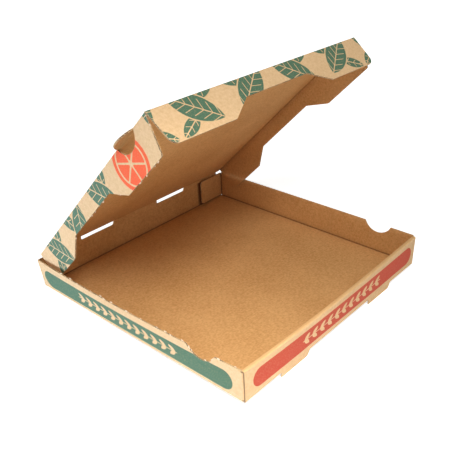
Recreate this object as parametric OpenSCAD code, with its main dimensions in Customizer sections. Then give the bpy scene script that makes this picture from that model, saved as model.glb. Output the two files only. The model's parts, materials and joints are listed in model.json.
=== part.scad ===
// Pizza box: one blank of corrugated board, die-cut and folded into a tray with a hinged lid.
// Millimetres. +X runs along the hinge, +Y points to the hinge side and +Z is up.
// The origin is at the middle of the footprint, level with the lower edges of the two front feet.

/* [Board] */
// Thickness of the corrugated board
board = 1.6; // [1:0.1:2.4]
// Gap between boards that lie face to face
layer_gap = 0.1; // [0.05:0.05:0.4]

/* [Tray] */
// Outer width of the tray, along the hinge
tray_w = 330; // [300:1:500]
// Outer depth of the tray, from front wall to hinge wall
tray_d = 340; // [300:1:500]
// Height of the side walls above the underside
side_h = 40.5; // [34:0.5:70]
// How far the front wall stops below the side walls
front_drop = 1; // [0:0.1:4]
// How far the lid's crease stands above the side walls
hinge_rise = 2.5; // [1.6:0.1:6]
// How far the front and hinge walls stop short of the side walls' outer faces
wall_inset = 1; // [0.2:0.1:1.5]

/* [Front feet] */
// Width of a foot at half its depth
foot_w = 47; // [20:1:70]
// How far a foot reaches below the underside
foot_drop = 6; // [3:0.5:10]
// Distance between the middles of the two feet
foot_pitch = 167; // [110:1:200]
// Side clearance of a lock tab in its floor slot
lock_gap = 3; // [1:0.5:6]

/* [Hinge wall slots] */
// Length of a slot along the lid's crease
slot_w = 55.5; // [20:0.5:80]
// Height of a slot below the lid's crease
slot_h = 5.5; // [4.5:0.5:10]
// Distance between the middles of the two slots
slot_pitch = 132.5; // [90:0.5:160]
// Offset of the pair of slots from the middle of the wall
slot_shift = -7; // [-15:0.5:15]
// Lean of a slot's right-hand end
slot_lean = 3; // [0:0.5:5]

/* [Corner tabs] */
// Length of the front tabs, held inside the double front wall
front_tab = 52; // [20:1:54]
// Length of the rear tabs, tucked inside the hinge wall
rear_tab = 42; // [20:1:60]
// Fold angle of the rear tabs, which stand a little off the hinge wall
rear_tab_fold = 94; // [90:0.5:97]
// Gap between the tabs and the floor
tab_lift = 1; // [0.5:0.5:4]
// How far the rear tabs stop below the side walls
tab_drop = 2; // [1:0.5:6]
// Corner radius of the tabs
tab_round = 4; // [1:0.5:8]

/* [Finger grips] */
// Width of a half-moon grip
grip_w = 38; // [26:1:44]
// Depth of a half-moon grip
grip_h = 12.5; // [8:0.5:16]
// Distance from the front wall's outer face to the middle of the grips
grip_from_front = 55.5; // [40:0.5:62]

/* [Lid] */
// Opening angle of the lid as shown, 0 when closed
lid_open = 44.5; // [0:0.5:180]
// Gap between the lid's side flaps and the side walls
flap_gap = 0.6; // [0.4:0.1:2]
// Gap between the front flap and the front wall when the lid is closed
front_gap = 3.2; // [2.6:0.1:8]
// Gap between the flaps and the floor when the lid is closed
flap_floor_gap = 3.4; // [1:0.1:10]
// Gap along the lid's crease
hinge_gap = 0.3; // [0.2:0.05:0.6]
// Depth of the cut-away in the middle of each flap
flap_notch = 17.4; // [6:0.2:24]
// Run of the slanted ends of each cut-away
flap_slope = 30; // [15:1:36]
// Length of a side flap's deep end at the hinge
side_rear_run = 67; // [40:1:80]
// Length of a side flap's deep end at the front
side_front_run = 77; // [66:1:85]
// Slant of a side flap's front end
side_front_slant = 9; // [4:0.5:14]
// Slant of a side flap's rear end
side_rear_slant = 6; // [2:0.5:10]
// Length of each deep end of the front flap
front_run = 82; // [50:1:90]
// Taper of the front flap's ends
front_taper = 2; // [0:0.5:6]
// Corner radius of the front flap's ends
front_round = 9; // [3:0.5:12]
// Corner radius of the other flap corners
flap_round = 3; // [1:0.5:5]
// Set-back of the side flaps from the lid's crease
flap_setback = 4; // [3:0.5:8]

/* [Hidden] */
$fn = 64;
fillet_steps = 6;
fold_lap = 5;
kraft = [0.86, 0.68, 0.46];
pale_kraft = [0.93, 0.78, 0.58];

// Heights above the underside
front_h = side_h - front_drop;
hinge_h = side_h + hinge_rise;
hinge_y = tray_d / 2 - board / 2;

// Floor between the inner lines of its creases
floor_x = tray_w - 2 * board;
floor_y = tray_d - 2 * board;

// Double front wall: an outer panel, a narrow top and an inner panel that locks into the floor
end_wall_w = tray_w - 2 * wall_inset;
front_t = 3 * board + 2 * layer_gap;
front_panel = front_h - 2 * board;
front_top = front_t - 2 * board;
inner_panel_w = floor_x - 2 * layer_gap;
inner_panel = front_h - 2 * board - layer_gap;
foot_len = foot_drop + board;
foot_curve = foot_len;
foot_end = foot_w / 2;
s_curve_end = 0.8;
foot_root = foot_end + foot_curve * (s_curve_end - 1 / 2);
lock_w = foot_w - 2 * lock_gap;

// Side walls, between the creases of their corner tabs
side_panel = side_h - board;
side_front = -tray_d / 2 + 2 * board + layer_gap;
side_rear = tray_d / 2 - 2 * board - layer_gap;
grip_r = (grip_w * grip_w / 4 + grip_h * grip_h) / (2 * grip_h);
grip_y = -tray_d / 2 + grip_from_front;
front_tab_top = front_h - 2 * board - layer_gap;
rear_tab_top = side_panel - tab_drop;

// Hinge wall, with its upper corners cut back beside the lid's crease
hinge_panel = hinge_h - board;
corner_cut_w = 14;
corner_cut_h = 9;
slot_round = 2;
tab_relief = 0.8;

// Lid, measured from the hinge axis
lid_w = tray_w - 2 * board - 2 * flap_gap;
lid_x = lid_w - 2 * board;
lid_start = board / 2 + hinge_gap;
lid_len = tray_d - board / 2 - front_t - front_gap;
lid_panel = lid_len - board;
grip_reach = hinge_y - grip_y;
flap_deep = hinge_h - board / 2 - flap_floor_gap - board;
flap_shallow = flap_deep - flap_notch;
flap_front = lid_panel - 4 * layer_gap;
flap_rear = flap_setback;
side_deep_rear = flap_rear + side_rear_slant;
side_deep_front = flap_front - side_front_slant;
front_flap_w = lid_w - 2 * layer_gap;
front_deep_end = front_flap_w / 2 - front_taper;

function unit(v) = v / norm(v);
function turned(v, a) = [v[0] * cos(a) - v[1] * sin(a), v[0] * sin(a) + v[1] * cos(a)];

// Points of the arc that rounds one corner of an outline
function fillet(before, at, after, r) =
    r == 0 ? [at] :
    let (u = unit(before - at),
         v = unit(after - at),
         half = acos(u * v) / 2,
         centre = at + unit(u + v) * r / sin(half),
         spoke = at + u * r / tan(half) - centre,
         sweep = (u[0] * v[1] > u[1] * v[0] ? -1 : 1) * (180 - 2 * half))
    [for (i = [0 : fillet_steps]) centre + turned(spoke, sweep * i / fillet_steps)];

// Outline through corners given as [x, y, radius]
function rounded(corners) =
    let (n = len(corners), p = [for (c = corners) [c[0], c[1]]])
    [for (i = [0 : n - 1]) each fillet(p[(i + n - 1) % n], p[i], p[(i + 1) % n], corners[i][2])];

// A panel lies flat with its printed face down, its crease on the X axis and its body towards +Y
module sheet() linear_extrude(board) children();

// Rounded fold between two panels, along one stretch of a crease.
// It runs on a little inside the folded panel, so that the two are one solid at any angle.
module bend(from, to, angle)
    translate([from, 0, board])
    rotate([0, 90, 0])
    rotate_extrude(angle = angle + fold_lap)
    square([board, to - from]);

// Folds the next panel up along a crease, which bends only on the given stretches
module crease(at, turn, stretches, angle = 90)
    translate(at) rotate(turn) {
        for (s = stretches) bend(s[0], s[1], angle);
        translate([0, 0, board]) rotate([angle, 0, 0]) translate([0, 0, -board]) children();
    }

module centred_strip(width, height) translate([-width / 2, 0]) square([width, height]);

module each_foot() for (side = [-1, 1]) translate([side * foot_pitch / 2, 0]) children();

// Tongue of board that stays in the front wall's plane and leaves a slot in the floor.
// One end is cut square and the other runs out in an S-curve.
module foot_outline()
    polygon(concat(
        [[foot_end, board], [foot_end, -foot_len]],
        [for (i = [0 : fillet_steps])
            let (s = s_curve_end * i / fillet_steps)
            [-foot_end + foot_curve / 2 - foot_curve * s, -foot_len * (1 + cos(180 * s)) / 2]],
        [[-foot_root, board]]
    ));

module floor_panel()
    sheet() difference() {
        square([floor_x, floor_y], center = true);
        translate([0, -floor_y / 2]) rotate(180) each_foot() foot_outline();
    }

module inner_front_panel()
    sheet() {
        centred_strip(inner_panel_w, inner_panel);
        each_foot() translate([0, inner_panel]) centred_strip(lock_w, layer_gap + board);
    }

module front_wall() {
    half_pitch = foot_pitch / 2;
    half_wall = end_wall_w / 2;
    stretches = [
        [-half_wall, -half_pitch - foot_root],
        [-half_pitch + foot_end, half_pitch - foot_root],
        [half_pitch + foot_end, half_wall]
    ];
    crease([0, -floor_y / 2, 0], 180, stretches) {
        sheet() {
            centred_strip(end_wall_w, front_panel);
            each_foot() foot_outline();
        }
        crease([0, front_panel, 0], 0, [[-half_wall, half_wall]]) {
            sheet() centred_strip(end_wall_w, front_top);
            crease([0, front_top, 0], 0, [[-inner_panel_w / 2, inner_panel_w / 2]]) inner_front_panel();
        }
    }
}

// Tab with a small relief at each end of its crease
module corner_tab(low, high, reach)
    sheet() polygon(rounded([
        [low + tab_relief, 0, 0],
        [low, tab_relief, 0],
        [low, reach, tab_round],
        [high, reach, tab_round],
        [high, tab_relief, 0],
        [high - tab_relief, 0, 0]
    ]));

// Left side wall with its finger notch, and the tabs at its two ends
module side_wall()
    crease([-floor_x / 2, 0, 0], 90, [[side_front, side_rear]]) {
        sheet() difference() {
            translate([side_front, 0]) square([side_rear - side_front, side_panel]);
            translate([grip_y, side_panel + grip_r - grip_h]) circle(grip_r);
            translate([side_front, front_tab_top]) square([2 * layer_gap, side_panel]);
        }
        crease([side_front, 0, 0], 90, [[tab_lift + tab_relief / 2, front_tab_top - tab_relief / 2]])
            corner_tab(tab_lift, front_tab_top, front_tab);
        crease([side_rear, 0, 0], -90, [[tab_relief / 2 - rear_tab_top, -tab_lift - tab_relief / 2]], rear_tab_fold)
            corner_tab(-rear_tab_top, -tab_lift, rear_tab);
    }

module slot_outline()
    polygon(rounded([
        [-slot_w / 2, board, 0],
        [-slot_w / 2, -slot_h, slot_round],
        [slot_w / 2 - slot_lean, -slot_h, slot_round],
        [slot_w / 2, board, 0]
    ]));

// Wall that carries the lid: its rounded upper edge lies on the hinge axis
module hinge_wall() {
    half_wall = end_wall_w / 2;
    edge_end = half_wall - corner_cut_w;
    middles = [slot_shift - slot_pitch / 2, slot_shift + slot_pitch / 2];
    edges = [
        [-edge_end, middles[0] - slot_w / 2],
        [middles[0] + slot_w / 2, middles[1] - slot_w / 2],
        [middles[1] + slot_w / 2, edge_end]
    ];
    crease([0, floor_y / 2, 0], 0, [[-half_wall, half_wall]]) {
        sheet() difference() {
            polygon([
                [-half_wall, 0],
                [half_wall, 0],
                [half_wall, hinge_panel - corner_cut_h],
                [edge_end, hinge_panel],
                [-edge_end, hinge_panel],
                [-half_wall, hinge_panel - corner_cut_h]
            ]);
            for (x = middles) translate([x, hinge_panel]) slot_outline();
        }
        for (e = edges)
            translate([e[0], hinge_panel, board / 2]) rotate([0, 90, 0]) cylinder(d = board, h = e[1] - e[0]);
    }
}

module tray()
    color(kraft) translate([0, 0, foot_drop]) {
        floor_panel();
        front_wall();
        hinge_wall();
        for (side = [0, 1]) mirror([side, 0, 0]) side_wall();
    }

// Half-moon that stays in the lid's plane when the side flap folds down
module grip_tongue()
    translate([-lid_x / 2, grip_reach]) rotate(90) intersection() {
        translate([0, grip_h - grip_r]) circle(grip_r);
        centred_strip(grip_w, grip_h);
    }

module lid_top()
    sheet() {
        translate([-lid_x / 2, lid_start]) square([lid_x, lid_panel - lid_start]);
        for (side = [0, 1]) mirror([side, 0]) grip_tongue();
    }

// Left flap of the lid, tucked inside the side wall when closed
module side_flap()
    crease([-lid_x / 2, 0, 0], 90, [
        [flap_rear, grip_reach - grip_w / 2],
        [grip_reach + grip_w / 2, flap_front]
    ])
        sheet() difference() {
            polygon(rounded([
                [flap_rear, 0, 0],
                [flap_front, 0, 0],
                [side_deep_front, flap_deep, flap_round],
                [side_deep_front - side_front_run, flap_deep, flap_round],
                [side_deep_front - side_front_run - flap_slope, flap_shallow, flap_round],
                [side_deep_rear + side_rear_run + flap_slope, flap_shallow, flap_round],
                [side_deep_rear + side_rear_run, flap_deep, flap_round],
                [side_deep_rear, flap_deep, flap_round]
            ]));
            translate([grip_reach, grip_h - grip_r]) circle(grip_r);
        }

module front_flap() {
    half_flap = front_flap_w / 2;
    deep_run = front_deep_end - front_run;
    shallow_run = deep_run - flap_slope;
    crease([0, lid_panel, 0], 0, [[-half_flap, half_flap]])
        sheet() polygon(rounded([
            [-half_flap, 0, 0],
            [half_flap, 0, 0],
            [front_deep_end, flap_deep, front_round],
            [deep_run, flap_deep, flap_round],
            [shallow_run, flap_shallow, flap_round],
            [-shallow_run, flap_shallow, flap_round],
            [-deep_run, flap_deep, flap_round],
            [-front_deep_end, flap_deep, front_round]
        ]));
}

module lid()
    color(pale_kraft)
    translate([0, hinge_y, foot_drop + hinge_h])
    rotate([180 - lid_open, 0, 0])
    translate([0, 0, -board / 2]) {
        lid_top();
        front_flap();
        for (side = [0, 1]) mirror([side, 0, 0]) side_flap();
    }

tray();
lid();
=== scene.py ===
# Looks for the pizza box: a tray and a lid, folded from one blank of printed kraft board.
import json
import math
import random

import bmesh
import bpy
from mathutils import Matrix, Quaternion, Vector


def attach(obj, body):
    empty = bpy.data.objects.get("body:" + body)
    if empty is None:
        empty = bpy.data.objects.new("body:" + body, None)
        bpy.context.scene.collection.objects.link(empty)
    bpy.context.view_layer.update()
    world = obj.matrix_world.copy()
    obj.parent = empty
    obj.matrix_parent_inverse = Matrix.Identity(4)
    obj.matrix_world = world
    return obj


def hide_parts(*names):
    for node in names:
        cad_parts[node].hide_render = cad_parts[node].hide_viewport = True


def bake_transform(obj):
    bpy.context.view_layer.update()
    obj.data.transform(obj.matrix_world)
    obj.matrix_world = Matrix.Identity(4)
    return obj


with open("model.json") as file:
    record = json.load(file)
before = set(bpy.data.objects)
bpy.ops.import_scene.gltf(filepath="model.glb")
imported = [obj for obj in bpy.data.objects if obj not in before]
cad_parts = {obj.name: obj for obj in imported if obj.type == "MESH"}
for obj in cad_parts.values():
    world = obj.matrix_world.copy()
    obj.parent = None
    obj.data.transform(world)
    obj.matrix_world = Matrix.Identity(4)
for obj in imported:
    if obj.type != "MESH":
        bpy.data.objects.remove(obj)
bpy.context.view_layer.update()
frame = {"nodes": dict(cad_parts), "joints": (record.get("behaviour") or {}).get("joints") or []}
scene = bpy.context.scene
mm = 0.001
perMetre = 1000.0
white = (1.0, 1.0, 1.0, 1.0)
print("stage: frame loaded")

board = {
    "thick": 1.6,  # liner, flutes, liner
    "flutePitch": 3.3,
    "specular": 0.25,
    "weld": 0.002,  # millimetres between points that are one
    "flatWithin": 0.4,  # degrees
    "smoothWithin": 32,
}
thick = board["thick"]
lidJoint = frame["joints"][0]
hinge = Vector(lidJoint["pos_m"])
lidAngle = math.radians(-lidJoint["range_deg"][0])  # how far the lid stands open at rest
lidAlong = Vector((0, -math.cos(lidAngle), math.sin(lidAngle)))  # from the hinge to the lid's front
lidInward = Vector((0, -math.sin(lidAngle), -math.cos(lidAngle)))  # from the printed face to the inside


# Shader maths

class Wire:
    def __init__(self, tree, socket):
        self.tree = tree
        self.socket = socket

    def node(self, kind, settings, inputs, output=0):
        made = self.tree.nodes.new(kind)
        for key, value in settings.items():
            setattr(made, key, value)
        for key, value in inputs.items():
            if isinstance(value, Wire):
                self.tree.links.new(value.socket, made.inputs[key])
            else:
                made.inputs[key].default_value = value
        return Wire(self.tree, made.outputs[output])

    def maths(self, operation, first, second=0.0, clamp=False):
        settings = {"operation": operation, "use_clamp": clamp}
        return self.node("ShaderNodeMath", settings, {0: first, 1: second})

    def __add__(self, other):
        return self.maths("ADD", self, other)

    def __radd__(self, other):
        return self.maths("ADD", other, self)

    def __sub__(self, other):
        return self.maths("SUBTRACT", self, other)

    def __rsub__(self, other):
        return self.maths("SUBTRACT", other, self)

    def __mul__(self, other):
        return self.maths("MULTIPLY", self, other)

    def __rmul__(self, other):
        return self.maths("MULTIPLY", other, self)

    def __truediv__(self, other):
        return self.maths("DIVIDE", self, other)

    def __rtruediv__(self, other):
        return self.maths("DIVIDE", other, self)

    def __pow__(self, other):
        return self.maths("POWER", self, other)

    def __mod__(self, other):
        return self.maths("FLOORED_MODULO", self, other)

    def __gt__(self, other):
        return self.maths("GREATER_THAN", self, other)

    def __lt__(self, other):
        return self.maths("LESS_THAN", self, other)

    def __abs__(self):
        return self.maths("ABSOLUTE", self)

    def __neg__(self):
        return self.maths("MULTIPLY", self, -1.0)

    def sin(self):
        return self.maths("SINE", self)

    def sqrt(self):
        return self.maths("SQRT", self)

    def floor(self):
        return self.maths("FLOOR", self)

    def clamp(self):
        return self.maths("ADD", self, 0.0, True)

    def atMost(self, other):
        return self.maths("MINIMUM", self, other)

    def atLeast(self, other):
        return self.maths("MAXIMUM", self, other)

    def blend(self, first, second):  # this wire is the share of the second colour
        return self.node("ShaderNodeMix", {"data_type": "RGBA"}, {0: self, 6: first, 7: second}, 2)

    def noise(self, scale, detail, stretch=(1.0, 1.0, 1.0)):
        spread = self.node("ShaderNodeVectorMath", {"operation": "MULTIPLY"}, {0: self, 1: stretch})
        return self.node("ShaderNodeTexNoise", {}, {"Vector": spread, "Scale": scale, "Detail": detail})


def shade(red, green, blue):  # screen colour, 0 to 255, as the linear colour that a shader takes
    screen = (red / 255, green / 255, blue / 255)
    linear = [c / 12.92 if c <= 0.04045 else ((c + 0.055) / 1.055) ** 2.4 for c in screen]
    return (*linear, 1.0)


def newLook(name):
    look = bpy.data.materials.new(name)
    look.use_nodes = True
    tree = look.node_tree
    shader = tree.nodes["Principled BSDF"]
    place = Wire(tree, tree.nodes.new("ShaderNodeTexCoord").outputs["Object"])
    return look, tree, shader, place


def finishLook(tree, shader, colour, rough, height, lift):
    # height is in board millimetres, lift is the bump's strength
    bump = colour.node("ShaderNodeBump", {}, {"Strength": lift, "Distance": mm, "Height": height})
    tree.links.new(colour.socket, shader.inputs["Base Color"])
    tree.links.new(rough.socket, shader.inputs["Roughness"])
    tree.links.new(bump.socket, shader.inputs["Normal"])
    shader.inputs["Specular IOR Level"].default_value = board["specular"]


def axes(place):  # object coordinates in millimetres
    parts = place.node("ShaderNodeVectorMath", {"operation": "SCALE"}, {0: place, "Scale": perMetre})
    split = parts.tree.nodes.new("ShaderNodeSeparateXYZ")
    parts.tree.links.new(parts.socket, split.inputs[0])
    return [Wire(parts.tree, output) for output in split.outputs]


def lidAxes(place):  # x, distance from the hinge, depth below the printed face
    offset = place.node("ShaderNodeVectorMath", {"operation": "SUBTRACT"}, {0: place, 1: tuple(hinge)})
    dot = {"operation": "DOT_PRODUCT"}
    reach = offset.node("ShaderNodeVectorMath", dot, {0: offset, 1: tuple(lidAlong * perMetre)}, 1)
    depth = offset.node("ShaderNodeVectorMath", dot, {0: offset, 1: tuple(lidInward * perMetre)}, 1)
    return axes(place)[0], reach, depth + thick / 2


# Kraft liners, folds and ink

kraft = {
    "inside": shade(219, 169, 109),
    "insideDark": shade(186, 135, 75),
    "outside": shade(232, 196, 148),
    "outsideDark": shade(215, 175, 125),
    "fibre": shade(142, 96, 54),
    "rolled": shade(224, 174, 110),
    # dark brown for painted shade in folds, gaps and slits, and for the scored fold lines
    "crease": shade(100, 60, 26),
    "hollowShade": shade(84, 54, 30),
    "edgeLight": shade(238, 210, 164),
    "edgePressed": shade(218, 181, 132),
    "torn": shade(252, 237, 208),
}
ink = {
    "green": shade(71, 109, 84),
    "red": shade(196, 73, 50),
    "orange": shade(241, 94, 51),
}
liner = {
    "tone": 0.36,  # share of the dark colour before the mottling
    "clouds": (14.0, 3.0),  # scale and detail, as for every noise
    "clumps": (360.0, 3.0),  # pulp clumps of 2 to 3 mm
    "speckle": (1300.0, 2.0),
    "fibres": (900.0, 2.0),
    "fibreStretch": 0.22,
    "mottling": (0.9, 1.5, 0.6, 1.2),  # strength of clouds, clumps, speckle and fibres
    "fluteTone": 0.03,
    "flecks": (420.0, 1.0, (0.35, 1.0, 0.7)),
    "fleckFrom": 0.7,
    "fleckSharp": 9.0,
    "fleckShare": {"inside": 0.3, "outside": 0.16},
    "rough": (0.86, 0.14),  # level, swing with the speckle
    "relief": (0.1, 0.05, 0.012),  # of fibres, speckle and flutes
    "lift": 0.35,
}
fold = {
    "line": 2.0,  # width of the scored line
    "ragged": (500.0, 2.0),
    "shadeBand": 9.0,  # width of the band of painted shade beside it
    "shadeBandDark": 0.16,
    "trayDark": 0.6,
    "lidDark": 0.2,
    "pressedIn": 0.5,
}
printing = {
    "cover": 0.985,
    "mottle": (700.0, 3.0),
    "thinFrom": 0.48,  # where the noise starts to thin the ink
    "thinBy": 0.6,
    "smoother": 0.16,  # than the bare liner
    "edge": (600.0, 2.0),
    "edgeSwing": 0.5,
    "edgeSoft": 0.35,
}


def kraftLiner(place, fluteAlong, side):
    clouds, clumps, speckle = (place.noise(*liner[layer]) for layer in ("clouds", "clumps", "speckle"))
    thin = liner["fibreStretch"]
    alongX = place.noise(*liner["fibres"], (thin, 1.0, 1.0))
    alongY = place.noise(*liner["fibres"], (1.0, thin, 1.0))
    fibres = alongX * 0.5 + alongY * 0.5
    flutes = (fluteAlong * (2 * math.pi / board["flutePitch"])).sin()
    tone = liner["tone"]
    for layer, strength in zip((clouds, clumps, speckle, fibres), liner["mottling"]):
        tone = tone + (layer - 0.5) * strength
    tone = (tone + flutes * liner["fluteTone"]).clamp()
    colour = tone.blend(kraft[side], kraft[side + "Dark"])
    flecks = ((place.noise(*liner["flecks"]) - liner["fleckFrom"]) * liner["fleckSharp"]).clamp()
    colour = (flecks * liner["fleckShare"][side]).blend(colour, kraft["fibre"])
    level, swing = liner["rough"]
    rough = level + (speckle - 0.5) * swing
    ofFibres, ofSpeckle, ofFlutes = liner["relief"]
    height = (fibres - 0.5) * ofFibres + (speckle - 0.5) * ofSpeckle + flutes * ofFlutes
    return colour, rough, height


def creased(colour, height, place, distance, dark):
    # the scored line along a fold, pressed in and dark, partly the board's own crushed crease and partly painted
    # shade, with a soft band of painted shade beside it
    ragged = place.noise(*fold["ragged"]) + 0.5
    away = distance.atLeast(0.0)
    line = (1.0 - away * ragged / fold["line"]).clamp()
    shadeBand = (1.0 - away / fold["shadeBand"]).clamp()
    share = (line * dark + shadeBand * fold["shadeBandDark"]).clamp()
    return share.blend(colour, kraft["crease"]), height - line * fold["pressedIn"]


def inked(colour, rough, place, mask, tint):
    thinned = (place.noise(*printing["mottle"]) - printing["thinFrom"]).atLeast(0.0) * printing["thinBy"]
    share = (mask * (printing["cover"] - thinned)).clamp()
    return share.blend(colour, tint), rough - share * printing["smoother"]


def inkWobble(place):  # how far a printed edge wanders
    return (place.noise(*printing["edge"]) - 0.5) * printing["edgeSwing"]


def leaf(u, v, length, width):  # distance from the outline, negative inside
    half, wide = length / 2, width / 2
    radius = (half * half + wide * wide) / (2 * wide)
    return (u * u + (abs(v) + (radius - wide)) ** 2.0).sqrt() - radius


def turned(u, v, degrees):
    c, s = math.cos(math.radians(degrees)), math.sin(math.radians(degrees))
    return u * c + v * s, v * c - u * s


def inside(distance, soft=printing["edgeSoft"]):
    return (0.5 - distance * (1.0 / soft)).clamp()


# Cut edges

cutEdge = {
    "ragged": (900.0, 3.0),
    "wave": 0.34,  # swing of the flutes, as a share of the board
    "flute": (0.1, 0.14, 0.3),  # half thickness, softness, raggedness
    "liners": (0.4, 0.08, 0.1),  # distance from the board's middle, softness, raggedness
    "pressed": (110.0, 2.0),  # where the cutting rule closed the flutes
    "pressedFrom": {"tray": 0.38, "lid": 0.46},
    "pressedSharp": 6.0,
    "pressedMost": 0.75,
    "rightPressed": 0.8,  # along the whole right wall
    "openStretch": (-118.0, 24.0),  # middle and half length on the left wall
    "seam": (164.0, 0.5, -167.6),  # painted shadow of the slit at the ends of the double front wall: x, half width, rear end
    "slitShadowDark": 0.8,
    "dust": (1500.0, 2.0),
    "dustFrom": 0.4,
    "dustMost": 0.6,
    "rough": (0.92, 0.05),
    "relief": (0.4, 0.3),  # of the paper and of its tears
    "lift": 0.6,
}


def makeEdgeLook(name, body):
    # cut board: two liners with the flute wave between them, the hollows between the flutes painted dark as their
    # shade
    look, tree, shader, place = newLook(name)
    across, along, down = lidAxes(place) if body == "lid" else axes(place)
    through = place.node("ShaderNodeAttribute", {"attribute_name": "boardDepth"}, {}, 2)
    ragged = place.noise(*cutEdge["ragged"]) - 0.5
    wave = ((along + down) * (2 * math.pi / board["flutePitch"])).sin() * cutEdge["wave"] + 0.5
    half, soft, swing = cutEdge["flute"]
    flute = inside(abs(through - wave + ragged * swing) - half, soft)
    start, soft, swing = cutEdge["liners"]
    liners = inside(start - abs(through - 0.5) + ragged * swing, soft)
    solid = flute.atLeast(liners)
    # painted shade: the flute hollows dark, the paper of the liners and flutes pale
    colour = solid.blend(kraft["hollowShade"], kraft["edgeLight"])
    closed = (place.noise(*cutEdge["pressed"]) - cutEdge["pressedFrom"][body]) * cutEdge["pressedSharp"]
    pressed = closed.clamp() * cutEdge["pressedMost"]
    if body == "tray":
        middle, half = cutEdge["openStretch"]
        stillOpen = (across < -tray["sideZone"]) * (abs(along - middle) < half)
        pressed = pressed.atLeast((across > tray["sideZone"]) * cutEdge["rightPressed"]) * (1.0 - stillOpen)
    colour = pressed.blend(colour, kraft["edgePressed"])
    if body == "tray":
        # painted shadow in the slit where the double front wall's panels end
        slit, half, rear = cutEdge["seam"]
        seam = (abs(abs(across) - slit) < half) * (along < rear)
        colour = (seam * cutEdge["slitShadowDark"]).blend(colour, kraft["crease"])
    dust = ((place.noise(*cutEdge["dust"]) - cutEdge["dustFrom"]) * cutEdge["dustMost"]).clamp()
    colour = dust.blend(colour, kraft["outsideDark"])
    level, swing = cutEdge["rough"]
    ofPaper, ofTears = cutEdge["relief"]
    height = solid * ofPaper + ragged * ofTears
    finishLook(tree, shader, colour, level + ragged * swing, height, cutEdge["lift"])
    return look


# Modelling helpers

near = 0.05  # millimetres within which a point lies on a plane
slack = 0.1  # millimetres of room at a panel's rounded edge
square = 0.97  # share of a normal, of a face that is square to an axis
nearlySquare = 0.9
edgeOn = 0.1  # and of one that lies along it


def selectOnly(pieces):  # the first one is made active
    bpy.ops.object.select_all(action="DESELECT")
    for piece in pieces:
        piece.select_set(True)
    bpy.context.view_layer.objects.active = pieces[0]


def editOnly(piece):
    if bpy.context.object and bpy.context.object.mode != "OBJECT":
        bpy.ops.object.mode_set(mode="OBJECT")
    selectOnly([piece])
    bpy.ops.object.mode_set(mode="EDIT")


def pickFaces(piece, test):
    bpy.ops.mesh.select_mode(type="FACE")
    bpy.ops.mesh.select_all(action="DESELECT")
    shape = bmesh.from_edit_mesh(piece.data)
    for face in shape.faces:
        face.select_set(bool(test(face.calc_center_median() / mm, face.normal)))
    bmesh.update_edit_mesh(piece.data)


def boardCopy(node, name):
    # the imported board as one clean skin: doubles merged, flat panels made whole
    piece = bpy.data.objects.new(name, frame["nodes"][node].data.copy())
    scene.collection.objects.link(piece)
    piece.data.materials.clear()
    editOnly(piece)
    bpy.ops.mesh.select_all(action="SELECT")
    bpy.ops.mesh.remove_doubles(threshold=board["weld"] * mm)
    bpy.ops.mesh.dissolve_limited(angle_limit=math.radians(board["flatWithin"]))
    return piece


def cutPanels(piece, places, normal, test):
    for place in places:
        pickFaces(piece, test)
        bpy.ops.mesh.bisect(plane_co=[part * place * mm for part in normal], plane_no=normal)


def giveLooks(piece, looks, sort):
    for look in looks.values():
        piece.data.materials.append(look)
    for index, name in enumerate(looks):
        pickFaces(piece, lambda centre, normal: sort(centre, normal) == name)
        piece.active_material_index = index
        bpy.ops.object.material_slot_assign()


def markDepth(piece):
    # for the pattern on cut edges: 1 on the inner face, which has the first look, and 0 on the printed one
    bpy.ops.object.mode_set(mode="OBJECT")
    depth = piece.data.attributes.new("boardDepth", "FLOAT", "POINT")
    for face in piece.data.polygons:
        if face.material_index == 0:
            for corner in face.vertices:
                depth.data[corner].value = 1.0


def settle(piece, body, node):
    selectOnly([piece])
    bpy.ops.object.shade_smooth_by_angle(angle=math.radians(board["smoothWithin"]))
    even = piece.modifiers.new("even", "WEIGHTED_NORMAL")
    even.keep_sharp = True
    bpy.ops.object.modifier_apply(modifier="even")
    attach(piece, body)
    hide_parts(node)


# Tray

tray = {
    "half": (165.0, 170.0),
    "underside": 6.0,
    "height": 40.5,
    "sideZone": 160.0,  # the side walls lie further out than this
    "sideEnd": 169.0,  # and end before this
    "wallZone": 10.0,  # the front and hinge walls and the tabs lie this near to the ends
    "wallMargin": 1.2,  # from the ends of those panels to the tray's sides
    "frontZone": -163.0,  # the double front wall lies before this
    "frontPanels": -164.0,  # and the middles of its panels before this
    "frontDeep": 5.0,
    "frontTop": 45.5,
    "frontTopMargin": 0.9,
    "frontFold": 43.8,  # where the rounded folds at its top start
    "hingeFold": 48.1,  # and the one at the hinge wall's top
    "sideCuts": range(-156, 165, 12),  # where panels are cut so that they can bend
    "heightCuts": (16, 26, 36),
    "frontCuts": range(-150, 151, 15),
    "leftLean": (0.0, 3.6, 18.5),  # outwards at the wall's top: front lean, rear lean, middle bow
    "rightLean": (2.6, 0.8, 1.6),
    "leanEnd": 1.7,  # from the walls' ends to the tray's ends
    "leanPower": 1.15,  # how the lean grows with the height
    "leanMost": 1.1,  # height that counts, as a share of the wall's
    "flare": (158.0, 5.0),  # of the front wall's ends with the side walls: start, length
    "frontBow": 3.4,  # outwards at the middle of the front wall's top
    "bowSkew": 0.3,  # fuller towards the left end
    "bowPower": 0.8,
    "tabFace": 166.6,
    "tabZone": (100.0, 155.0),  # the rear tabs lie beyond these, in x and in y
    "tabLong": 42.0,
    "tabLeanAt": 168.0,  # where they take the side walls' lean from
    "tabTop": 30.0,  # points above this are the tabs' upper edges
    "tabTilt": 3.4,
    "tabStandOff": 2.0,  # how much further the right rear tab's free end stands off the hinge wall
    "tabReach": 7.0,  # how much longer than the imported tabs
    "tabRise": 1.2,  # how much higher at the fold
}
halfX, halfY = tray["half"]
innerX, innerY = halfX - thick, halfY - thick
floorTop = tray["underside"] + thick
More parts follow.
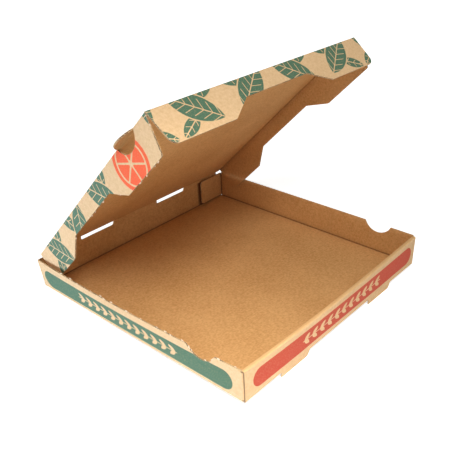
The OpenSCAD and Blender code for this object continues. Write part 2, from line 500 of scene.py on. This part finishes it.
tabShade = {"start": 112.0, "soft": 4.0, "behind": 168.2, "below": 45.0, "dark": 0.8}  # painted shadow on the hinge wall, in the right tab's gap
rolledTop = {  # the top of the double front wall, tinted darker and yellower in streaks along it
    "start": 44.0,
    "soft": 1.2,
    "streaks": (420.0, 2.0, (0.04, 1.0, 1.0)),
    "share": (0.35, 0.5),  # level, swing with the streaks
}
pills = {  # printed bands: middle, half length and half height, middle and half length of the row of leaves
    "leftWall": {"middle": (2.4, 23.7), "half": (157.4, 12.7), "tint": "green", "row": (5.8, 84.0)},
    "frontWall": {"middle": (2.6, 25.9), "half": (154.4, 12.1), "tint": "red", "row": (4.0, 77.0)},
}
sprig = {"pitch": 14.0, "offset": 3.1, "turn": 38.0, "leaf": (12.0, 5.2), "stem": 0.6}


def pillPrint(u, v, spec, wobble):
    along, up = u - spec["middle"][0], v - spec["middle"][1]
    flat = spec["half"][0] - spec["half"][1]
    reach = (abs(along) - flat).atLeast(0.0)
    pill = inside((reach * reach + up * up).sqrt() - spec["half"][1] + wobble)
    # a row of small paired leaves, left bare of ink
    start, span = spec["row"]
    step = u - start
    cell = (step + span) % sprig["pitch"] - sprig["pitch"] / 2
    row = abs(step) < span
    p, q = turned(cell, abs(up) - sprig["offset"], sprig["turn"])
    bare = inside(leaf(p, q, *sprig["leaf"]).atMost(abs(up) - sprig["stem"]) + wobble) * row
    return pill * (1.0 - bare)


def makeTrayLook(name, side, spec=None, axisPair=None):
    look, tree, shader, place = newLook(name)
    x, y, z = axes(place)
    colour, rough, height = kraftLiner(place, y + z, side)
    if side == "inside":
        onFloor = (innerX - abs(x)).atMost(innerY - y).atLeast(z - floorTop)
        upright = (innerX - abs(x)).atLeast(tray["tabFace"] - y)  # the side walls' rear corners
        # painted shade along the folds round the floor and at the rear corners
        colour, height = creased(colour, height, place, onFloor.atMost(upright), fold["trayDark"])
        # painted shadow: the hinge wall behind the right rear tab darkened in place of the gap's shade
        beside = ((x - tabShade["start"]) / tabShade["soft"]).clamp()
        tabGapShadow = beside * (y > tabShade["behind"]) * (z < tabShade["below"])
        colour = (tabGapShadow * tabShade["dark"]).blend(colour, kraft["crease"])
    else:
        rolled = ((z - rolledTop["start"]) / rolledTop["soft"]).clamp() * (y < tray["frontZone"])
        level, swing = rolledTop["share"]
        streaks = level + place.noise(*rolledTop["streaks"]) * swing
        colour = (rolled * streaks).clamp().blend(colour, kraft["rolled"])
    if spec:
        u, v = {"yz": (y, z), "xz": (x, z)}[axisPair]
        band = pillPrint(u, v, spec, inkWobble(place))
        colour, rough = inked(colour, rough, place, band, ink[spec["tint"]])
    finishLook(tree, shader, colour, rough, height, liner["lift"])
    return look


def traySide(centre, normal):
    x, y, z = centre
    acrossX, acrossY, acrossZ = (abs(part) > square for part in normal)
    onFront = y < -halfY + tray["frontDeep"] + slack
    if acrossX and abs(abs(x) - halfX) < near:
        return "leftPrint" if x < 0 else "outside"
    if acrossX and abs(abs(x) - innerX) < near and normal.x * x < 0 and z > floorTop:
        return "inside"
    if acrossY and abs(y + halfY) < near:
        return "frontPrint"
    if acrossY and abs(y - halfY) < near:
        return "outside"
    if acrossY and abs(y + halfY - tray["frontDeep"]) < slack and normal.y > 0:
        return "outside"
    if acrossY and halfY - tray["wallZone"] < abs(y) < halfY and abs(x) <= halfX - tray["wallMargin"]:
        return "inside" if normal.y * y < 0 else "outside"
    if acrossZ and abs(z - tray["underside"]) < near:
        return "outside"
    if acrossZ and abs(z - floorTop) < near and normal.z > 0:
        return "inside"
    if acrossZ and abs(z - tray["frontTop"]) < slack and onFront and abs(x) < halfX - tray["frontTopMargin"]:
        return "outside"
    # the rounded folds: round the floor, at the upright corners, and at the tops of the front and hinge walls
    atFloor = z < floorTop + slack and (abs(x) > innerX - slack or abs(y) > innerY - slack)
    if atFloor and not (acrossX or acrossY or acrossZ):
        return "outside"
    if abs(x) > innerX - slack and abs(normal.z) < edgeOn and not (acrossX or acrossY):
        return "outside"
    if z > tray["frontFold"] and onFront and abs(normal.x) < edgeOn and not (acrossY or acrossZ):
        return "outside"
    if y > innerY - slack and z > tray["hingeFold"] and abs(normal.x) < edgeOn:
        return "outside" if y > halfY - thick / 2 else "inside"
    return "edge"


def leanOut(spec, y):
    reach = halfY - tray["leanEnd"]
    share = min(max((y + reach) / (2 * reach), 0.0), 1.0)
    return spec[0] * (1 - share) + spec[1] * share + spec[2] * share * (1 - share)


def onSideWall(centre, normal):
    return abs(centre.x) > tray["sideZone"] and abs(centre.y) < tray["sideEnd"]


def onSidePanel(centre, normal):
    return onSideWall(centre, normal) and abs(normal.x) > nearlySquare


def onFrontWall(centre, normal):
    return centre.y < tray["frontPanels"]


trayPiece = boardCopy("tray", "trayBoard")
cutPanels(trayPiece, tray["sideCuts"], (0, 1, 0), onSideWall)
cutPanels(trayPiece, tray["heightCuts"], (0, 0, 1), onSidePanel)
cutPanels(trayPiece, tray["frontCuts"], (1, 0, 0), onFrontWall)
giveLooks(
    trayPiece,
    {
        "inside": makeTrayLook("trayKraftInside", "inside"),
        "outside": makeTrayLook("trayKraftOutside", "outside"),
        "leftPrint": makeTrayLook("trayGreenBand", "outside", pills["leftWall"], "yz"),
        "frontPrint": makeTrayLook("trayRedBand", "outside", pills["frontWall"], "xz"),
        "edge": makeEdgeLook("trayCutEdge", "tray"),
    },
    traySide,
)
markDepth(trayPiece)
# side walls lean and bow outwards, and carry their rear tabs with them
wallX, wallY = innerX - slack, innerY - near
tabX, tabY = tray["tabZone"]
flareStart, flareLong = tray["flare"]
for corner in trayPiece.data.vertices:
    x, y, z = corner.co / mm
    rise = min(max((z - tray["underside"]) / tray["height"], 0.0), tray["leanMost"])
    spec = tray["leftLean"] if x < 0 else tray["rightLean"]
    if abs(x) > wallX and abs(y) < wallY:
        corner.co.x += math.copysign(leanOut(spec, y) * rise ** tray["leanPower"] * mm, x)
    elif tabX < abs(x) <= wallX and tabY < y < wallY and z > floorTop + slack:
        corner.co.x += math.copysign(leanOut(spec, tray["tabLeanAt"]) * rise * mm, x)
        inward = (innerX - abs(x)) / tray["tabLong"]
        lift = tray["tabRise"] * (1 - inward) * (z > tray["tabTop"])
        corner.co.z += (tray["tabTilt"] * inward + lift) * mm
        corner.co.x -= math.copysign(tray["tabReach"] * inward * mm, x)
        if x > 0:
            corner.co.y -= tray["tabStandOff"] * inward * mm
    elif abs(x) > flareStart and y < tray["frontZone"]:
        flare = spec[0] * rise * min((abs(x) - flareStart) / flareLong, 1.0)
        corner.co.x += math.copysign(flare * mm, x)
    if y < tray["frontZone"] and abs(x) < halfX:
        bow = tray["frontBow"] * (1 - (x / halfX) ** 2) * (1 - tray["bowSkew"] * x / halfX)
        corner.co.y -= bow * rise ** tray["bowPower"] * mm
settle(trayPiece, "tray", "tray")
print("stage: tray", len(trayPiece.data.polygons), "faces")


# Lid

lid = {
    "halfWidth": 162.8,
    "length": 331.0,
    "frontFlapOpen": 4.0,  # degrees that the front flap springs back from square
    "flapSkew": (-4.0, 4.0, 2.0),  # drift of the left, right and front flaps' free edges along their creases
    "flapDeep": 37.0,
    "flapStart": 0.02,  # below the lid's inner face
    "foldTilt": 0.02,  # least slant of a face on a side flap's rounded fold
}
lidInnerX, lidInnerReach = lid["halfWidth"] - thick, lid["length"] - thick
motif = {
    "pitch": 73.2,
    "row": 344.0,  # distance from the hinge of the foremost row's middle
    "cellsAside": (10, 10.5),  # so that the cells are counted from beyond the lid
    "bareRows": 5.5,  # along the hinge
    "leaves": [  # place, turn, length, width
        (-2.0, 1.0, 40.0, 64.0, 29.0),
        (17.0, -16.0, -26.0, 42.0, 18.0),
        (-19.0, 18.0, -30.0, 34.0, 14.0),
    ],
    "leafGap": 1.5,
    "midrib": 0.6,
    "vein": 0.5,
    "veinPitch": 9.5,
    "veinSlant": 0.8,
    "veinShift": 300.0,
    "veinReach": 0.36,  # share of the leaf's width
    "disc": 28.0,
    "discEvery": (9.0, 7.0),  # one cell in nine, counted two to a row
    "rind": (0.8, 1.0),  # share of the disc's radius, half width
    "segments": (3.0, 0.36, 1.1),  # half the count, taper, half width of the gaps
}


def lidPrint(u, v, wobble):
    # one motif to a cell: a spray of leaves in most, a cut tomato in some
    pitch = motif["pitch"]
    asideU, asideV = motif["cellsAside"]
    shiftedU, shiftedV = u + pitch * asideU, v - motif["row"] + pitch * asideV
    column, row = (shiftedU / pitch).floor(), (shiftedV / pitch).floor()
    p, q = shiftedU - column * pitch - pitch / 2, shiftedV - row * pitch - pitch / 2
    p = p * (1.0 - (column + row) % 2.0 * 2.0)  # every other spray leans the other way
    green, clear = 0.0, 1.0
    for placeU, placeV, turn, length, width in motif["leaves"]:
        a, b = turned(p - placeU, q - placeV, turn)
        blade = leaf(a, b, length, width)
        step = (a + abs(b) * motif["veinSlant"] + motif["veinShift"]) % motif["veinPitch"]
        sideVeins = abs(step - motif["veinPitch"] / 2) - motif["vein"]
        veins = (abs(b) - motif["midrib"]).atMost(sideVeins).atLeast(abs(b) - width * motif["veinReach"])
        green = inside(blade.atLeast(-veins) + wobble) * clear + green
        clear = (blade > motif["leafGap"]) * clear
    r = (p * p + q * q).sqrt()
    angle = p.node("ShaderNodeMath", {"operation": "ARCTAN2"}, {0: q, 1: p})
    halfCount, taper, gap = motif["segments"]
    spokes = abs((angle * halfCount).sin()) * r * taper - gap
    rindShare, rindHalf = motif["rind"]
    ring = abs(r - motif["disc"] * rindShare) - rindHalf
    rind = spokes.atLeast(r - motif["disc"] * rindShare).atMost(ring)
    red = inside((r - motif["disc"]).atLeast(-rind) + wobble)
    every, which = motif["discEvery"]
    isRed = abs((column + row * 2.0) % every - which) < 0.5
    printed = row > motif["bareRows"]
    return green.clamp() * (1.0 - isRed) * printed, red * isRed * printed


def makeLidLook(name, panel):
    look, tree, shader, place = newLook(name)
    x, reach, depth = lidAxes(place)
    colour, rough, height = kraftLiner(place, reach + depth, "inside" if panel == "inside" else "outside")
    if panel == "inside":
        onPlate = (lidInnerX - abs(x)).atMost(lidInnerReach - reach).atLeast(depth - thick)
        # painted shade along the folds of the lid's inner face
        colour, height = creased(colour, height, place, onPlate, fold["lidDark"])
    else:
        u, v = x, reach
        if panel == "frontFlap":
            v = reach + depth
        if panel == "sideFlap":
            u = x + depth * (x > 0.0) - depth * (x < 0.0)
        green, red = lidPrint(u, v, inkWobble(place))
        colour, rough = inked(colour, rough, place, green, ink["green"])
        colour, rough = inked(colour, rough, place, red, ink["orange"])
    finishLook(tree, shader, colour, rough, height, liner["lift"])
    return look


def lidPlace(point):  # as lidAxes, for a point in millimetres
    offset = point - hinge / mm
    return point.x, offset.dot(lidAlong), offset.dot(lidInward) + thick / 2


def lidSide(centre, normal):
    x, reach, depth = lidPlace(centre)
    alongX, alongReach, alongDepth = normal.x, normal.dot(lidAlong), normal.dot(lidInward)
    if alongDepth < -square and abs(depth) < near:
        return "top"
    if alongDepth > square and abs(depth - thick) < near:
        return "inside"
    if abs(alongX) > square and abs(abs(x) - lid["halfWidth"]) < near:
        return "sideFlap"
    if abs(alongX) > square and abs(abs(x) - lidInnerX) < near and alongX * x < 0:
        return "inside"
    if alongReach > square and abs(reach - lid["length"]) < near:
        return "frontFlap"
    if alongReach < -square and abs(reach - lidInnerReach) < near:
        return "inside"
    # the rounded folds of the side flaps and of the front flap
    atPlate = depth < thick + slack
    atSide = lidInnerX - slack < abs(x) < lid["halfWidth"] and abs(alongX) > lid["foldTilt"]
    if atPlate and atSide and abs(alongReach) < edgeOn:
        return "sideFlap"
    if atPlate and abs(alongX) < edgeOn and reach > lidInnerReach - slack:
        return "frontFlap"
    return "edge"


lidPiece = boardCopy("lid", "lidBoard")
giveLooks(
    lidPiece,
    {
        "inside": makeLidLook("lidKraftInside", "inside"),
        "top": makeLidLook("lidTopPrint", "top"),
        "frontFlap": makeLidLook("lidFrontFlapPrint", "frontFlap"),
        "sideFlap": makeLidLook("lidSideFlapPrint", "sideFlap"),
        "edge": makeEdgeLook("lidCutEdge", "lid"),
    },
    lidSide,
)
markDepth(lidPiece)
# the side flaps drift along their creases, and the front flap springs back
leftSkew, rightSkew, frontSkew = lid["flapSkew"]
spring = math.radians(lid["frontFlapOpen"])
for corner in lidPiece.data.vertices:
    x, reach, depth = lidPlace(corner.co / mm)
    out, down = reach - lidInnerReach, depth - thick
    if down <= lid["flapStart"]:
        continue
    if abs(x) > lidInnerX - near and out < -near:
        corner.co += lidAlong * (leftSkew if x < 0 else rightSkew) * down / lid["flapDeep"] * mm
    if out > -near:
        corner.co.x += frontSkew * down / lid["flapDeep"] * mm
        turnedOut = out * math.cos(spring) + down * math.sin(spring) - out
        turnedDown = down * math.cos(spring) - out * math.sin(spring) - down
        corner.co += (lidAlong * turnedOut + lidInward * turnedDown) * mm
settle(lidPiece, "lid", "lid")
print("stage: lid", len(lidPiece.data.polygons), "faces")


# Hinge skin: the outer liner that bends from the hinge wall into the lid, between the slots

hingeSkin = {
    "stretches": [(-156.0, -101.0), (-45.5, 31.5), (87.0, 156.0)],
    "down": 6.0,  # on the wall
    "along": 6.0,  # on the lid
    "lift": 0.06,
    "thick": 0.3,
    "bendSteps": 6,
    "lidSteps": 3,
    "smoothWithin": 40,
}
skinRadius = thick / 2 + hingeSkin["lift"]
skinTurn = math.atan2(-lidInward.z, -lidInward.y)
skinPath = [Vector((0, skinRadius, -hingeSkin["down"])), Vector((0, skinRadius, 0))]
for k in range(1, hingeSkin["bendSteps"] + 1):
    bend = skinTurn * k / hingeSkin["bendSteps"]
    skinPath.append(Vector((0, math.cos(bend), math.sin(bend))) * skinRadius)
bendEnd = skinPath[-1]
for k in range(1, hingeSkin["lidSteps"] + 1):
    skinPath.append(bendEnd + lidAlong * hingeSkin["along"] * k / hingeSkin["lidSteps"])
skinStrips = []
for left, right in hingeSkin["stretches"]:
    bpy.ops.object.select_all(action="DESELECT")
    first = (skinPath[0] + skinPath[1]) / 2 * mm + hinge + Vector(((left + right) / 2 * mm, 0, 0))
    bpy.ops.mesh.primitive_plane_add(size=1, location=first, rotation=(-math.pi / 2, 0, 0))
    strip = bpy.context.object
    bpy.ops.object.mode_set(mode="EDIT")
    bpy.ops.transform.resize(value=((right - left) * mm, 1, hingeSkin["down"] * mm))
    bpy.ops.mesh.subdivide(number_cuts=1)
    bpy.ops.mesh.select_mode(type="EDGE")
    bpy.ops.mesh.select_all(action="DESELECT")
    shape = bmesh.from_edit_mesh(strip.data)
    upper = hinge.z - slack * mm
    for edge in shape.edges:
        edge.select_set(all((strip.matrix_world @ corner.co).z > upper for corner in edge.verts))
    bmesh.update_edit_mesh(strip.data)
    for before, after in zip(skinPath[1:], skinPath[2:]):
        bpy.ops.mesh.extrude_region_move(TRANSFORM_OT_translate={"value": (after - before) * mm})
    bpy.ops.mesh.select_all(action="SELECT")
    bpy.ops.mesh.normals_make_consistent(inside=False)
    bpy.ops.object.mode_set(mode="OBJECT")
    bpy.ops.object.transform_apply(location=True, rotation=True, scale=True)
    skinStrips.append(strip)
selectOnly(skinStrips)
bpy.ops.object.join()
skinPiece = bpy.context.object
skinPiece.name = "hingeSkin"
if sum(face.normal.dot(-lidInward) * face.area for face in skinPiece.data.polygons) < 0:
    skinPiece.data.flip_normals()
bentLiner = skinPiece.modifiers.new("liner", "SOLIDIFY")
bentLiner.thickness, bentLiner.offset = hingeSkin["thick"] * mm, -1.0
bpy.ops.object.modifier_apply(modifier="liner")
skinPiece.data.materials.append(bpy.data.materials["trayKraftOutside"])
bpy.ops.object.shade_smooth_by_angle(angle=math.radians(hingeSkin["smoothWithin"]))
tuple(hinge + skinPath[1] * mm)
tuple(hinge + skinPath[7] * mm)
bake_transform(skinPiece)
print("stage: hinge skin", len(skinPiece.data.polygons), "faces")


# Torn fibres that stand up from the cut edges

tufts = {
    "onWall": 36,
    "onFlap": 24,
    "wallSize": (0.6, 1.7),
    "flapSize": (0.5, 1.3),
    "seed": 11,
    "scrap": 1.3,  # side of the scrap of liner that a tuft is torn from
    "middle": 0.35,  # of the scrap, above the cut edge
    "stretch": (1.5, 1.0, 0.8),
    "tear": (0.24, 5),  # distance, seed
    "thick": 0.22,
    "lean": (0.5, 0.35),  # radians at most, to the side and round
    "tone": (1600.0, 3.0),
    "toneFrom": 0.35,
    "toneSharp": 2.2,
    "rough": (0.9, 0.1),
    "relief": 0.2,
    "lift": 0.5,
    "wallRim": (0.4, 30.0, 150.0),  # least upward share, lowest, rearmost
    "flapRim": (0.2, 6.0, (-163.0, -160.0)),  # least share away from the lid, least depth, range of x
}

bpy.ops.object.select_all(action="DESELECT")
standing = (math.pi / 2, 0, 0)
bpy.ops.mesh.primitive_plane_add(size=tufts["scrap"] * mm, location=(0, 0, tufts["middle"] * mm), rotation=standing)
oneTuft = bpy.context.object
bpy.ops.object.mode_set(mode="EDIT")
bpy.ops.mesh.subdivide(number_cuts=2)
bpy.ops.transform.resize(value=tufts["stretch"])
tearBy, tearSeed = tufts["tear"]
bpy.ops.transform.vertex_random(offset=tearBy * mm, seed=tearSeed)
bpy.ops.object.mode_set(mode="OBJECT")
bpy.ops.object.transform_apply(location=True, rotation=True, scale=True)
pulp = oneTuft.modifiers.new("pulp", "SOLIDIFY")
pulp.thickness, pulp.offset = tufts["thick"] * mm, 0.0
bpy.ops.object.modifier_apply(modifier="pulp")
fluffLook, fluffTree, fluffShader, fluffPlace = newLook("tornFibre")
fluffTone = fluffPlace.noise(*tufts["tone"])
fluffDark = ((fluffTone - tufts["toneFrom"]) * tufts["toneSharp"]).clamp()
fluffColour = fluffDark.blend(kraft["torn"], kraft["outside"])
fluffLevel, fluffSwing = tufts["rough"]
fluffRough = fluffLevel + (fluffTone - 0.5) * fluffSwing
finishLook(fluffTree, fluffShader, fluffColour, fluffRough, fluffTone * tufts["relief"], tufts["lift"])
oneTuft.data.materials.append(fluffLook)


def scatterTufts(name, piece, test, count, size, body):
    pick = random.Random(tufts["seed"])
    corners = piece.data.vertices
    edgeSlot = len(piece.data.materials) - 1
    cutFaces = [face for face in piece.data.polygons if face.material_index == edgeSlot]
    faces = [face for face in cutFaces if test(face.center / mm, face.normal)]
    leanY, leanZ = tufts["lean"]
    copies = []
    for face in pick.choices(faces, [face.area for face in faces], k=count):
        places = [corners[v].co for v in face.vertices]
        shares = [pick.expovariate(1.0) for place in places]
        spot = sum((place * share for place, share in zip(places, shares)), Vector()) / sum(shares)
        sides = [a - b for a, b in zip(places, places[1:] + places[:1])]
        along = max(sides, key=lambda side: side.length).normalized()
        across = face.normal.cross(along)
        turn = Matrix((along, across, face.normal)).transposed().to_4x4()
        lean = Matrix.Rotation(pick.uniform(-leanY, leanY), 4, "Y")
        lean = lean @ Matrix.Rotation(pick.uniform(-leanZ, leanZ), 4, "Z")
        copy = oneTuft.copy()
        copy.data = oneTuft.data.copy()
        scene.collection.objects.link(copy)
        copy.matrix_world = Matrix.Translation(spot) @ turn @ lean @ Matrix.Scale(pick.uniform(*size), 4)
        copies.append(copy)
    selectOnly(copies)
    bpy.ops.object.transform_apply(location=True, rotation=True, scale=True)
    bpy.ops.object.join()
    fluff = bpy.context.object
    fluff.name = name
    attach(fluff, body)
    return fluff


def onLeftRim(centre, normal):
    upward, lowest, rearmost = tufts["wallRim"]
    return centre.x < -tray["sideZone"] and normal.z > upward and centre.z > lowest and centre.y < rearmost


def onLeftFlapRim(centre, normal):
    outward, least, (farX, nearX) = tufts["flapRim"]
    x, _, depth = lidPlace(centre)
    return farX < x < nearX and depth > least and normal.dot(lidInward) > outward


wallTufts = scatterTufts(
    "wallTufts", trayPiece, onLeftRim, tufts["onWall"], tufts["wallSize"], "tray"
)
flapTufts = scatterTufts(
    "flapTufts", lidPiece, onLeftFlapRim, tufts["onFlap"], tufts["flapSize"], "lid"
)
bpy.data.objects.remove(oneTuft)
print("stage: torn fibres", len(wallTufts.data.polygons) + len(flapTufts.data.polygons), "faces")


# Stage, light and camera

studio = {
    "cameraAim": (0.0299, -0.0085, 0.0342),
    "cameraReach": 0.8501,
    "turn": (-48.04, 30.37, -2.12),  # round, above, roll
    "lens": 52.61,
    "sensor": 36.0,
    "shift": (-0.0522, 0.0489),
    "sky": 0.25,
    "skyTint": (1.0, 0.95, 0.86, 1.0),
    "groundSize": 12,
    "groundGap": 0.1,
    "groundColour": (0.9, 0.9, 0.9, 1.0),
    "groundNear": 0.74,  # how bright the ground looks under the box, where 1 is white
    "groundFade": (300.0, 500.0),  # start and length of its way to white
}
lamps = {
    "keyLamp": {
        "place": (-0.5, -0.6, 1.02),
        "target": (-0.08, -0.1, 0.03),
        "size": (0.36, 0.36),
        "watts": 7.6,
        "tint": (0.985, 1.0, 1.06),
        "spread": 180.0,
    },
    "cornerLamp": {
        "place": (-0.2, -0.29, 0.4),
        "target": (-0.16, -0.14, 0.0),
        "size": (0.2, 0.2),
        "watts": 0.16,
        "tint": (1.0, 0.985, 0.96),
        "spread": 60.0,
    },
    "sideCard": {
        "place": (-0.75, 0.5, 0.03),
        "target": (-0.17, 0.2, 0.03),
        "size": (1.0, 0.05),
        "watts": 1.65,
        "tint": (0.78, 0.96, 1.3),
        "spread": 80.0,
    },
    "frontCard": {
        "place": (-0.28, -0.8, 0.09),
        "target": (0.0, -0.17, 0.04),
        "size": (0.7, 0.14),
        "watts": 1.12,
        "tint": (0.94, 0.98, 1.1),
        "spread": 180.0,
    },
}


def addLamp(name, spec):
    bpy.ops.object.light_add(type="AREA", location=spec["place"])
    lamp = bpy.context.object
    lamp.name = name
    lamp.data.shape = "RECTANGLE"
    lamp.data.size, lamp.data.size_y = spec["size"]
    lamp.data.energy = spec["watts"]
    lamp.data.color = spec["tint"]
    lamp.data.spread = math.radians(spec["spread"])
    lamp.rotation_mode = "QUATERNION"
    lamp.rotation_quaternion = (Vector(spec["target"]) - lamp.location).to_track_quat("-Z", "Y")


def seenDirectly(tree):  # 1 for what the camera sees, by itself or through gloss or glass
    rays = tree.nodes.new("ShaderNodeLightPath").outputs
    camera, glossy, through = (
        Wire(tree, rays[name]) for name in ("Is Camera Ray", "Is Glossy Ray", "Is Transmission Ray")
    )
    return camera.atLeast(glossy).atLeast(through)


for name, spec in lamps.items():
    addLamp(name, spec)

bpy.ops.mesh.primitive_plane_add(size=studio["groundSize"])
ground = bpy.context.object
ground.name = "studioGround"
tilt = math.atan2(tray["underside"], 2 * halfY)  # the box stands on its two feet and its rear fold
ground.rotation_euler = (tilt, 0, 0)
ground.location = (0, 0, tray["underside"] / 2 * mm - studio["groundGap"] * mm)
groundLook = bpy.data.materials.new("studioWhite")
groundLook.use_nodes = True
groundTree = groundLook.node_tree
groundTree.nodes.clear()
groundOut = groundTree.nodes.new("ShaderNodeOutputMaterial")
bright = seenDirectly(groundTree)
groundPlace = Wire(groundTree, groundTree.nodes.new("ShaderNodeTexCoord").outputs["Object"])
groundX, groundY = axes(groundPlace)[:2]
fadeStart, fadeLong = studio["groundFade"]
away = (((groundX * groundX + groundY * groundY).sqrt() - fadeStart) / fadeLong).clamp()
matte = bright.node("ShaderNodeBsdfDiffuse", {}, {"Color": studio["groundColour"]})
nearGlow = bright.node("ShaderNodeEmission", {}, {"Color": white, "Strength": studio["groundNear"]})
farGlow = bright.node("ShaderNodeEmission", {}, {"Color": white, "Strength": 1.0})
glow = bright.node("ShaderNodeMixShader", {}, {0: away, 1: nearGlow, 2: farGlow})
nothing = bright.node("ShaderNodeEmission", {}, {"Strength": 0.0})
lit = bright.node("ShaderNodeMixShader", {}, {0: bright, 1: nothing, 2: glow})
both = bright.node("ShaderNodeAddShader", {}, {0: matte, 1: lit})
groundTree.links.new(both.socket, groundOut.inputs["Surface"])
ground.data.materials.append(groundLook)

world = bpy.data.worlds.new("studioSky")
scene.world = world
world.use_nodes = True
sky = world.node_tree
sky.nodes.clear()
direct = seenDirectly(sky)
strength = direct * (1.0 - studio["sky"]) + studio["sky"]
skyColour = direct.blend(studio["skyTint"], white)
backdrop = direct.node("ShaderNodeBackground", {}, {"Color": skyColour, "Strength": strength})
sky.links.new(backdrop.socket, sky.nodes.new("ShaderNodeOutputWorld").inputs["Surface"])

around, above, roll = (math.radians(a) for a in studio["turn"])
level = math.cos(above)
back = Vector((math.sin(around) * level, -math.cos(around) * level, math.sin(above)))
bpy.ops.object.camera_add(location=Vector(studio["cameraAim"]) + back * studio["cameraReach"])
camera = bpy.context.object
camera.name = "photoCamera"
camera.rotation_mode = "QUATERNION"
camera.rotation_quaternion = (-back).to_track_quat("-Z", "Y") @ Quaternion((0, 0, 1), roll)
camera.data.lens = studio["lens"]
camera.data.sensor_width = studio["sensor"]
camera.data.shift_x, camera.data.shift_y = studio["shift"]
scene.camera = camera
scene.view_settings.view_transform = "Standard"
print("stage: studio ready")
